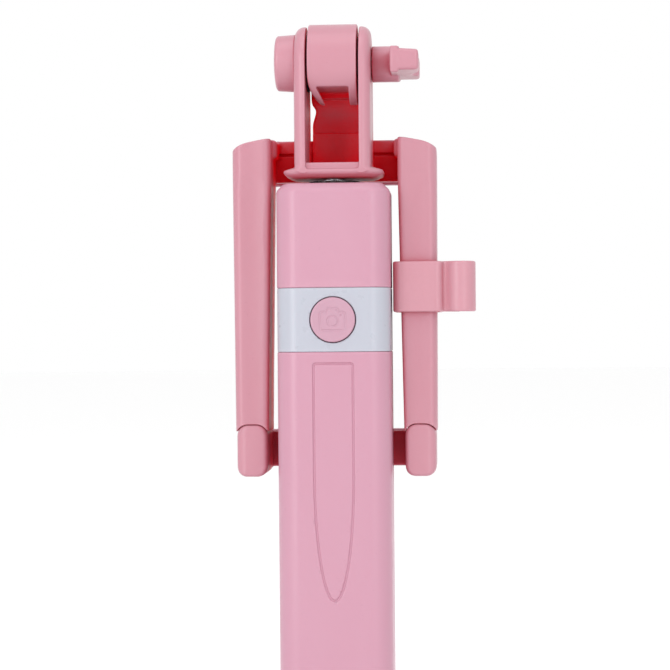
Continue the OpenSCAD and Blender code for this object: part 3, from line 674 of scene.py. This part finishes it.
COLLAR_X = lines((-6.5, 6.5, 0.1))
COLLAR_Z = lines((142.1, 144.2, 0.25), (144.2, 145.4, 0.08))
piece(carve("knurled_collar", collar_shape, COLLAR_X, COLLAR_X, COLLAR_Z, 0.01, 0.03),
      "handle", "tube_steel", KNURL, "rod_collar")


# ---------------------------------------------------------------- yoke, nut cap and knob
EAR_IN, EAR_OUT, EAR_R, EAR_DROP = 5.9, -NUT_CAP[1][0], -YOKE[0][1], 0.5
FLANGE_X, FLANGE_Y, FLANGE_Z = YOKE[1][0], -YOKE[0][1], YOKE[0][2]
BOLT_HOLE, ROD_SOCKET, SOCKET_DEPTH = 2.08, 2.42, 2.7
PIN_Z, PIN_R, PIN_FRONT = 147.5, 0.76, -3.2


def yoke_shape(x, y, z):
    h = z - HINGE_Z
    wall = plate(x, y, FLANGE_X, FLANGE_Y, CORNER)
    # the flange: thin at its rim, with a slanted underside
    top = z - FLANGE_Z - np.minimum(2.4, 1.75 + 0.3 * np.clip(-wall, 0, 9))
    under = 0.41 * wall + 0.912 * (FLANGE_Z + 0.9 - z)
    flange = both(both(both(wall, top * 0.88, 0.25), under, 0.6), FLANGE_Z - z, 0.3)
    post = np.maximum(np.abs(y) - EAR_R, np.maximum(h + EAR_DROP, FLANGE_Z + 1.2 - z))
    ear = join(disc(y, h + EAR_DROP, EAR_R), post)
    ear = both(both(ear, np.abs(x) - EAR_OUT, 2.1), EAR_IN - np.abs(x), 0.25)
    bridge = slab(x, y, z, (-7, -EAR_R + 0.9, FLANGE_Z + 1), (7, EAR_R - 0.3, FLANGE_Z + 3.3), 0.25)
    body = np.maximum(join(join(flange, ear, 0.7), bridge, 0.35), np.abs(y) - FLANGE_Y)
    body = less(body, run(disc(y, h, BOLT_HOLE), x, -20, 20), 0.2)
    body = less(body, run(disc(x, y, ROD_SOCKET), z, FLANGE_Z - THROUGH, FLANGE_Z + SOCKET_DEPTH), 0.2)
    return less(body, run(disc(x, z - PIN_Z, PIN_R), y, PIN_FRONT, 12))


YOKE_X = lines((-11.6, -5.4, 0.16), (-5.4, 5.4, 0.35), (5.4, 11.6, 0.16))
YOKE_Y = lines((-9.3, -6.5, 0.16), (-6.5, 6.5, 0.3), (6.5, 9.3, 0.16))
YOKE_Z = lines((145.5, 151, 0.13), (151, 168, 0.45), (168, 180.8, 0.2))
piece(carve("yoke_moulding", yoke_shape, YOKE_X, YOKE_Y, YOKE_Z), "head", "head_pink", HEAD, "yoke")

COVER_R, COVER_RISE, COVER_IN, COVER_TAPER, DOME_R = 6.4, 0.5, -8.45, 0.07, 28.0
NUT_HALF, NUT_END = 3.5, -11.65


def nut_cap_shape(x, y, z):
    h = z - HINGE_Z
    rad = hyp(y, h - COVER_RISE)
    out = NUT_CAP[0][0]
    cone = (rad - COVER_R + COVER_TAPER * np.maximum(COVER_IN - x, 0)) * 0.995
    body = run(cone, x, out, COVER_IN, 0.9, 0.15)
    dome = np.sqrt(rad * rad + (x - out - DOME_R) ** 2) - DOME_R
    body = both(body, dome, 0.5)
    flats = np.maximum(np.abs(0.5 * y + 0.866 * h), np.abs(0.5 * y - 0.866 * h))
    hexagon = np.maximum(np.abs(y), flats) - NUT_HALF
    return less(body, run(hexagon, x, NUT_END, -7))


COVER_X = lines((-13.7, -8.2, 0.13))
COVER_Y = lines((-6.7, 6.7, 0.17))
COVER_Z = lines((HINGE_Z - 6.2, HINGE_Z + 7.2, 0.17))
piece(carve("nut_cap_moulding", nut_cap_shape, COVER_X, COVER_Y, COVER_Z),
      "head", "head_pink", HEAD, "nut_cap")

HUB_R, WING_IN, WING_OUT, WING_R, CHEEK_OUT, CHEEK_HALF = 4.0, 12.9, 19.1, 9.6, 14.7, 2.9
WAIST_X, WAIST_R, BOLT_R, BOLT_END = 21.3, 3.6, 2.0, 14.2


def knob_shape(x, y, z):
    h = z - HINGE_Z
    hub = run(disc(y, h, HUB_R), x, KNOB[0][0], CHEEK_OUT, 0.3)
    wing = outline(x, h, soften([(WING_IN, -2.4), (WING_OUT, -2.4), (WING_OUT, 2.1), (WING_IN, 2.5)], 0.8))
    wing = both(wing, hyp(y, h) - WING_R, 0.7)
    cheek = both(run(disc(y, h, WING_R), x, WING_IN, CHEEK_OUT, 0.35), np.abs(h) - CHEEK_HALF, 0.35)
    body = join(join(hub, wing, 0.4), cheek, 0.25)
    waist = run(disc(x - WAIST_X, y, WAIST_R), h, -9, 9)
    body = less(body, waist, 0.5)
    return less(body, run(disc(y, h, BOLT_R), x, 7, BOLT_END))


KNOB_X = lines((8.4, 12.7, 0.2), (12.7, 19.4, 0.13))
KNOB_Y = lines((-9.8, 9.8, 0.17))
KNOB_Z = lines((HINGE_Z - 4.3, HINGE_Z + 4.4, 0.13))
piece(carve("knob_moulding", knob_shape, KNOB_X, KNOB_Y, KNOB_Z),
      "knob", "head_pink", KNOB_MAT, "hinge_knob")


# ---------------------------------------------------------------- phone clamp
RAIL_X, RAIL_Y, RAIL_D = 18.5, 4.65, 7.65
RAIL_TOP, TAPER_Z, FOOT_Z = HINGE_Z - 16.3, HINGE_Z - 25.4, HINGE_Z - 81.6
RAIL_FOOT_HALF, RAIL_WIDENS, FOOT_SHIFT = 3.7, 0.65, 0.35
RAIL_OUT_R, RAIL_IN_R = 2.5, 1.4
BLOCK_TOP, BLOCK_FOOT = HINGE_Z - 80.4, HINGE_Z - 91.9
BLOCK_TOP_R, BLOCK_FOOT_R, BLOCK_GAP = 2.8, 2.6, 0.14
PLATE_Y, BACK_Y, LIP_Y, JAW_BACK_Y = 10.3, 12.3, 22.0, 24.2
JAW_WALL, JAW_DEPTH, JAW_HALF_W = 2.1, 8, 21.5
JAW_TOP, JAW_BAR = HINGE_Z - 17.4, BLOCK_FOOT + 1.5
BARREL_R, BARREL_HALF_W, POCKET_BACK = 9.0, 5.5, 5.5
RAIL_BORE, GUIDE_HOLE, GUIDE_R, BORE_FLOOR = 2.9, 2.2, 1.5, HINGE_Z - 78

# Outlines measured from the hinge: across and up for the front ones, back and up for the side ones
BARREL_FRONT = soften([(-5.5, 10), (-5.5, -3.6), (-5.2, -5.6), (-4.4, -7.3), (-2.6, -9.1),
                       (5.5, -9.1), (5.5, 10)], 1.0)
POCKET_FRONT = soften([(-3.6, -5.6), (3.6, -5.6), (3.6, -10.4), (-1.4, -10.4), (-2.2, -8.4),
                       (-3.2, -6.4)], 0.5)
NECK_FRONT = soften([(-5.5, 0), (-5.5, -8), (-4.4, -9.3), (-5.5, -12.4), (-5.5, -19),
                     (5.5, -19), (5.5, 0)], 0.9)
NECK_SIDE = soften([(4, 0), (8.7, 0.5), (9.6, -5.4), (BACK_Y, -11.4), (BACK_Y, -19), (PLATE_Y, -19),
                    (9.7, -17.5), (9.7, -14.2), (6.4, -8.6), (5.5, -4.6)], 1.2)
JAW_PROFILE = soften([(PLATE_Y, 0), (JAW_BACK_Y, 0), (JAW_BACK_Y, JAW_DEPTH), (LIP_Y, JAW_DEPTH),
                      (LIP_Y, JAW_WALL), (BACK_Y, JAW_WALL), (BACK_Y, JAW_DEPTH),
                      (PLATE_Y, JAW_DEPTH)], 0.75, 4)


def rail_plan(u, y, half):
    """A rail from above, rounder on its outer side"""
    return plate(u, y - RAIL_Y, half, RAIL_D, np.where(u > 0, RAIL_OUT_R, RAIL_IN_R))


def rail_half(z):
    return RAIL_FOOT_HALF + RAIL_WIDENS * np.clip((z - FOOT_Z) / (TAPER_Z - FOOT_Z), 0, 1)


def rail_shape(u, y, z):
    """One rail; u is the distance outward from its middle"""
    lean = FOOT_SHIFT * np.clip((TAPER_Z - z) / (TAPER_Z - FOOT_Z), 0, 1)
    side = rail_plan(u - lean, y, rail_half(z))
    t = z - RAIL_TOP
    top = both(t + 0.06 * (u + 4.35), 0.949 * (t + 0.3) + 0.316 * u, 1.5)
    top = both(top, 0.78 * (t + 1.3) + 0.62 * (u - 3), 1.2)
    body = both(side, top, 0.5)
    # a shallow hollow along the rail's front, which runs out near its top
    fade = 0.45 * np.clip((z - RAIL_TOP + 16) / 8, 0, 1) ** 2
    return less(body, disc(u + 0.1, y + 3 + 7.6 + fade, 8.0), 0.8)


def block_flat(u, z, grow=0.0):
    """Outline of an end block, with its round shoulders and foot"""
    middle, half = (BLOCK_FOOT + BLOCK_TOP) / 2, (BLOCK_TOP - BLOCK_FOOT) / 2 + grow
    low, high = (plate(u - FOOT_SHIFT, z - middle, RAIL_FOOT_HALF + grow, half, r + grow)
                 for r in (BLOCK_FOOT_R, BLOCK_TOP_R))
    return np.where(z > middle, high, low)


def channel(x, y, z, wall_z, way):
    """A jaw from the side: plate, wall and lip in one bent section. way is 1 when it opens upwards"""
    return run(outline(y, (z - wall_z) * way, JAW_PROFILE), x, -JAW_HALF_W, JAW_HALF_W, 0.6)


def frame_shape(x, y, z):
    h = z - HINGE_Z
    u = np.abs(x) - RAIL_X
    barrel = both(disc(y, h, BARREL_R), outline(x, h, BARREL_FRONT), 0.3)
    barrel = both(barrel, np.abs(x) - BARREL_HALF_W, 0.3)
    neck = both(outline(x, h, NECK_FRONT), outline(y, h, NECK_SIDE), 0.5)
    apron = slab(x, y, z, (-5.5, 9.4, 147.2), (5.5, 11, HINGE_Z - 14.3), 0.2)
    raised = slab(x, y, z, (-14.2, PLATE_Y, 150), (14.2, BACK_Y, HINGE_Z - 15.9), 0.5)
    jaw = channel(x, y, z, JAW_TOP, -1)
    body = join(join(join(barrel, neck, 0.5), jaw, 0.7), raised, 0.2)
    # no fillet of the rails may reach behind the plate, where the phone goes
    behind = np.minimum(y - BACK_Y, body)
    shoulder = slab(np.abs(x), y, z, (13.2, 2.0, RAIL_TOP - 4), (16, 11.8, RAIL_TOP - 0.05), 0.8)
    body = join(join(body, apron), shoulder, 0.8)
    body = np.maximum(join(body, rail_shape(u, y, z), 0.5), behind)
    body = less(body, run(outline(x, h, POCKET_FRONT), y, -12, POCKET_BACK, 0.3), 0.25)
    body = less(body, slab(np.abs(x), y, z, (6.4, 9, 151.95), (13.6, 10.95, 152.6), 0.1), CREASE_R)
    body = less(body, run(disc(y, h, BOLT_HOLE), x, -9, 9), 0.2)
    body = less(body, run(block_flat(u, z, BLOCK_GAP), y, -6, 20), 0.3)
    body = less(body, run(disc(u, y - RAIL_Y, RAIL_BORE), z, BORE_FLOOR, 170), CREASE_R)
    return less(body, run(disc(u, y - RAIL_Y, GUIDE_HOLE), z, 80, 100))


RAIL_TICKS = [(RAIL_X - 4.7, RAIL_X - 1.5, 0.17), (RAIL_X - 1.5, RAIL_X + 1.5, 0.25),
              (RAIL_X + 1.5, RAIL_X + 4.7, 0.17)]
LEFT_TICKS = [(-b, -a, step) for a, b, step in RAIL_TICKS[::-1]]
FRAME_X = lines(*LEFT_TICKS, (-RAIL_X + 4.7, -6, 0.3), (-6, 6, 0.18), (6, RAIL_X - 4.7, 0.3), *RAIL_TICKS)
FRAME_Y = lines((-9.3, -3.6, 0.25), (-3.6, 0.2, 0.15), (0.2, 9, 0.35), (9, 13, 0.15),
                (13, 21.4, 0.45), (21.4, 24.5, 0.18))
FRAME_Z = lines((88, 92.5, 0.13), (92.5, 145, 1.0), (145, 158, 0.16), (158, 180.7, 0.22))
piece(carve("clamp_moulding", frame_shape, FRAME_X, FRAME_Y, FRAME_Z, 0.01),
      "clamp", "head_pink", HEAD, "clamp_frame")

PLUG_R, PLUG_LONG, PLUG_SUNK = 2.82, 4.4, 0.07


def plug_shape(x, y, z):
    """The plugs that close both rails' bores, a hair below the rails' own tops"""
    u = np.abs(x) - RAIL_X
    rod = np.maximum(disc(u, y - RAIL_Y, PLUG_R), RAIL_TOP - PLUG_LONG - z)
    return both(rod, rail_shape(u, y, z) + PLUG_SUNK, CREASE_R)


PLUG_Y = lines((1.6, 7.7, 0.14))
PLUG_Z = lines((RAIL_TOP - 4.8, RAIL_TOP - 3, 0.4), (RAIL_TOP - 3, RAIL_TOP + 0.2, 0.12))
# One CAD node holds both plugs, and the right one stands for it
for name, middle, replaced in (("rail_plug_left", -RAIL_X, ()), ("rail_plug_right", RAIL_X, ("rail_plugs",))):
    plug = carve(name, plug_shape, lines((middle - 3.1, middle + 3.1, 0.14)), PLUG_Y, PLUG_Z)
    piece(plug, "clamp", "head_pink", HEAD, *replaced)


def jaw_shape(x, y, z):
    u = np.abs(x) - RAIL_X
    block = both(rail_plan(u - FOOT_SHIFT, y, RAIL_FOOT_HALF), block_flat(u, z), 0.8)
    bent = channel(x, y, z, JAW_BAR, 1)
    body = np.maximum(join(bent, block, 0.5), np.minimum(y - BACK_Y, bent))
    return less(body, run(disc(u, y - RAIL_Y, GUIDE_R), z, BLOCK_FOOT + 3, 95), 0.1)


JAW_X = lines(*LEFT_TICKS, (-RAIL_X + 4.7, RAIL_X - 4.7, 1.2), *RAIL_TICKS)
JAW_Y = lines((-3.3, -0.2, 0.15), (-0.2, 9.8, 0.35), (9.8, 12.8, 0.15), (12.8, 21.4, 0.4),
              (21.4, 24.5, 0.18))
JAW_Z = lines((79.2, 82.5, 0.14), (82.5, 88, 0.3), (88, 91.3, 0.14))
piece(carve("jaw_moulding", jaw_shape, JAW_X, JAW_Y, JAW_Z, 0.01),
      "jaw", "head_pink", JAW_MAT, "moving_jaw")

RIB_PITCH, RIB_R, RIB_HALF_W, RIB_Y, RIB_HALF_D = 1.9, 0.5, 17.6, 16.8, 3.4
LINING_TOP, LINING_HALF_W = 4.3, 19


def lining(wall_z, way):
    """Soft lining of a jaw, with grip grooves across it"""
    profile = soften([(12.4, 2.15), (21.95, 2.15), (21.95, 7.4), (21.0, 7.4), (21.0, LINING_TOP),
                      (12.4, LINING_TOP)], 0.4, 4)

    def shape(x, y, z):
        w = (z - wall_z) * way
        body = run(outline(y, w, profile), x, -LINING_HALF_W, LINING_HALF_W, 0.5)
        groove = hyp(x - RIB_PITCH * np.round(x / RIB_PITCH), w - 4.58) - RIB_R
        groove = both(groove, np.abs(x) - RIB_HALF_W, 0.2)
        groove = both(groove, np.abs(y - RIB_Y) - RIB_HALF_D, 0.3)
        return less(body, groove, 0.2)

    return shape


LINING_X = lines((-19.3, 19.3, 0.16))
LINING_Y = lines((12.1, 14.5, 0.18), (14.5, 19.4, 0.5), (19.4, 22.3, 0.16))
for name, body, wall_z, way, node in (("upper_lining", "clamp", JAW_TOP, -1, "fixed_pad"),
                                      ("lower_lining", "jaw", JAW_BAR, 1, "moving_pad")):
    low, high = span(node)
    lining_z = lines((low[2] - SPARE, high[2] + SPARE, 0.16))
    pad = carve(name, lining(wall_z, way), LINING_X, LINING_Y, lining_z, 0.01)
    piece(pad, body, "pad_silicone", SILICONE, node)


# ---------------------------------------------------------------- clip on the right rail
HOOK_X, HOOK_Y, HOOK_R, HOOK_OUT_R = 27.9, -0.9, 2.2, 3.4
CLIP_X, CLIP_Y, CLIP_HALF_W, CLIP_HALF_D = 18.475, 4.55, 5.525, 8.85
POCKET_SHIFT, POCKET_HALF_W, POCKET_HALF_D = 0.125, 4.375, 7.8
SLOT_HALF_W, SLOT_Y = 1.7, 13


def clip_shape(x, y, z):
    u = x - RAIL_X
    plan = plate(x - CLIP_X, y - CLIP_Y, CLIP_HALF_W, CLIP_HALF_D, 1.6)
    stem = plate(x - 25.1, y - HOOK_Y, 2.3, 1.7, 0.2)
    hook = join(disc(x - HOOK_X, y - HOOK_Y, HOOK_OUT_R), stem, 0.6)
    plan = join(plan, hook, 0.35)
    plan = less(plan, plate(u - POCKET_SHIFT, y - RAIL_Y, POCKET_HALF_W, POCKET_HALF_D, 1.4), 0.2)
    plan = less(plan, plate(u, y - SLOT_Y, SLOT_HALF_W, 1.6, 0.2), 0.3)
    plan = less(plan, disc(x - HOOK_X, y - HOOK_Y, HOOK_R), 0.2)
    plan = less(plan, plate(x - 30.4, y - HOOK_Y - 3.1, 2.5, 2.5, 0.3), 0.3)
    return run(plan, z, CLIP[0][2], CLIP[1][2], 0.4)


CLIP_FOOT, CLIP_TOP = CLIP[0][2], CLIP[1][2]
CLIP_Z = lines((CLIP_FOOT - 0.2, CLIP_FOOT + 0.8, 0.1), (CLIP_FOOT + 0.8, CLIP_TOP - 0.8, 1.2),
               (CLIP_TOP - 0.8, CLIP_TOP + 0.2, 0.1))
CLIP_GRID_X = lines((12.7, 31.6, 0.14))
CLIP_GRID_Y = lines((-4.6, 3.5, 0.14), (3.5, 11.5, 0.4), (11.5, 13.7, 0.14))
piece(carve("clip_moulding", clip_shape, CLIP_GRID_X, CLIP_GRID_Y, CLIP_Z, 0.01),
      "clip", "clip_pink", CLIP_MAT, "rail_clip")


# ---------------------------------------------------------------- return springs in the rails
SPRING_TURNS, WIRE_R = 14, 0.28
RINGS, WIRE_SIDES = 24 * SPRING_TURNS, 10


def wire_ring(mesh, i, start, coil_r, length):
    """The i-th ring of points around the wire, which winds up from start"""
    a = 2 * math.pi * SPRING_TURNS * i / RINGS
    up = start[2] + WIRE_R + length * i / RINGS
    ring = []
    for s in range(WIRE_SIDES):
        b = 2 * math.pi * s / WIRE_SIDES
        r = coil_r + WIRE_R * math.cos(b)
        at = (start[0] + r * math.cos(a), start[1] + r * math.sin(a), up + WIRE_R * math.sin(b))
        ring.append(mesh.verts.new([c / PER_METRE for c in at]))
    return ring


def return_spring(name, node):
    """A coil of round wire, as tall and wide as its CAD node"""
    low, high = span(node)
    start = ((low[0] + high[0]) / 2, (low[1] + high[1]) / 2, low[2])
    coil_r = (high[0] - low[0]) / 2 - WIRE_R
    length = high[2] - low[2] - 2 * WIRE_R
    mesh = bmesh.new()
    rings = [wire_ring(mesh, i, start, coil_r, length) for i in range(RINGS + 1)]
    for lower, upper in zip(rings, rings[1:]):
        for s in range(WIRE_SIDES):
            t = (s + 1) % WIRE_SIDES
            mesh.faces.new((lower[s], lower[t], upper[t], upper[s])).smooth = True
    mesh.faces.new(rings[0][::-1])
    mesh.faces.new(rings[-1])
    bmesh.ops.recalc_face_normals(mesh, faces=mesh.faces)
    data = bpy.data.meshes.new(name)
    mesh.to_mesh(data)
    mesh.free()
    o = piece(shown(name, data), "clamp", "hardware_steel", HARDWARE, node)
    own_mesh(o)


return_spring("left_coil", "left_spring")
return_spring("right_coil", "right_spring")


# ---------------------------------------------------------------- camera, floor and light, in metres
TARGET = Vector((0.0, 0.0, 0.111))
AZIMUTH, ROLL = math.radians(3.5), math.radians(-0.5)
DISTANCE, FIELD = 0.45, 0.150
camera = shown("camera", bpy.data.cameras.new("camera"))
camera.location = TARGET + DISTANCE * Vector((math.sin(AZIMUTH), -math.cos(AZIMUTH), 0))
look = (TARGET - camera.location).to_track_quat("-Z", "Y").to_matrix().to_4x4()
camera.matrix_world = Matrix.Translation(camera.location) @ look @ Matrix.Rotation(ROLL, 4, "Z")
camera.data.angle = 2 * math.atan(FIELD / 2 / DISTANCE)
camera.data.shift_x = -0.0015
camera.data.clip_start = 0.01
bpy.context.scene.camera = camera


def lamp(name, at, size, power):
    """A soft box that faces the stick"""
    light = bpy.data.lights.new(name, "AREA")
    light.shape = "RECTANGLE"
    light.size, light.size_y = size
    light.energy = power
    o = shown(name, light)
    o.location = at
    o.rotation_euler = (TARGET - Vector(at)).to_track_quat("-Z", "Y").to_euler()


lamp("left_box", (-0.45, -0.75, 0.25), (0.3, 0.9), 3.2)
lamp("right_box", (0.45, -0.75, 0.25), (0.3, 0.9), 1.7)
lamp("top_box", (0.0, -0.25, 0.95), (0.8, 0.6), 1.9)

world = bpy.data.worlds.new("world")
bpy.context.scene.world = world
world.use_nodes = True
world.node_tree.nodes["Background"].inputs[0].default_value = (1, 1, 1, 1)
world.node_tree.nodes["Background"].inputs[1].default_value = 1.0

floor_mesh = bpy.data.meshes.new("floor")
disc_mesh = bmesh.new()
bmesh.ops.create_circle(disc_mesh, cap_ends=True, segments=96, radius=6.0)
disc_mesh.to_mesh(floor_mesh)
disc_mesh.free()
floor = shown("floor", floor_mesh)
paper = bpy.data.materials.new("paper")
paper.use_nodes = True
shader = paper.node_tree.nodes["Principled BSDF"]
shader.inputs["Base Color"].default_value = (0.985, 0.985, 0.985, 1)
shader.inputs["Roughness"].default_value = 0.9
floor_mesh.materials.append(paper)
